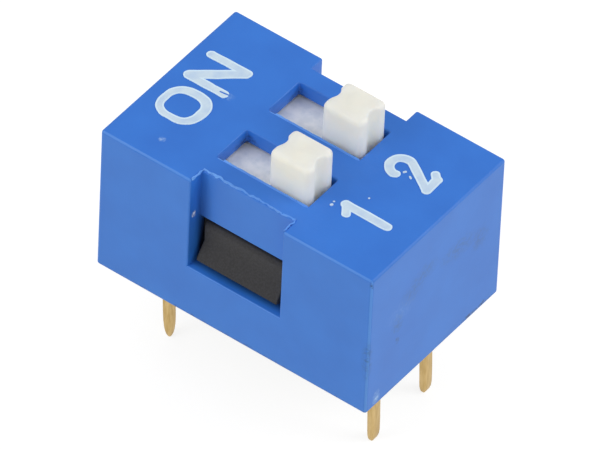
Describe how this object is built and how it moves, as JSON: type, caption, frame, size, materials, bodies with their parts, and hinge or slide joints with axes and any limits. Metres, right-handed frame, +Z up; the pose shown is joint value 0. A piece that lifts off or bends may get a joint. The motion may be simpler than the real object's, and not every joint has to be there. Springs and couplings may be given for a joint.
{
  "type": "dip switch",
  "caption": "Two-position slide DIP switch: a blue cover with white knobs in slots, snapped over a black base with gold-plated through-hole pins.",
  "frame": {"origin": "centre of the pin footprint, on the face that sits on the board", "axes": "+X along the row from switch 1 to switch 2, +Y from the numbered side to the ON side, +Z up, away from the board"},
  "size_m": [0.0066, 0.0098, 0.01],
  "materials": {
    "cover_plastic": "moulded, satin gloss",
    "base_plastic": "moulded, matt",
    "slider_plastic": "moulded, satin",
    "gold_plate": "gold-plated copper alloy",
    "epoxy": "cast epoxy"
  },
  "bodies": {
    "housing": {"cover": "cover_plastic", "base": "base_plastic", "epoxy_seal": "epoxy", "terminal_1_front": "gold_plate", "terminal_1_rear": "gold_plate", "terminal_2_front": "gold_plate", "terminal_2_rear": "gold_plate"},
    "switch_1": {"slider_1": "slider_plastic", "contact_spring_1": "gold_plate"},
    "switch_2": {"slider_2": "slider_plastic", "contact_spring_2": "gold_plate"}
  },
  "joints": [
    {"name": "switch_1_slide", "type": "slide", "parent": "housing", "child": "switch_1", "axis": [0, 1, 0], "range_m": [0, 0.00172]},
    {"name": "switch_2_slide", "type": "slide", "parent": "housing", "child": "switch_2", "axis": [0, 1, 0], "range_m": [0, 0.00172]}
  ]
}
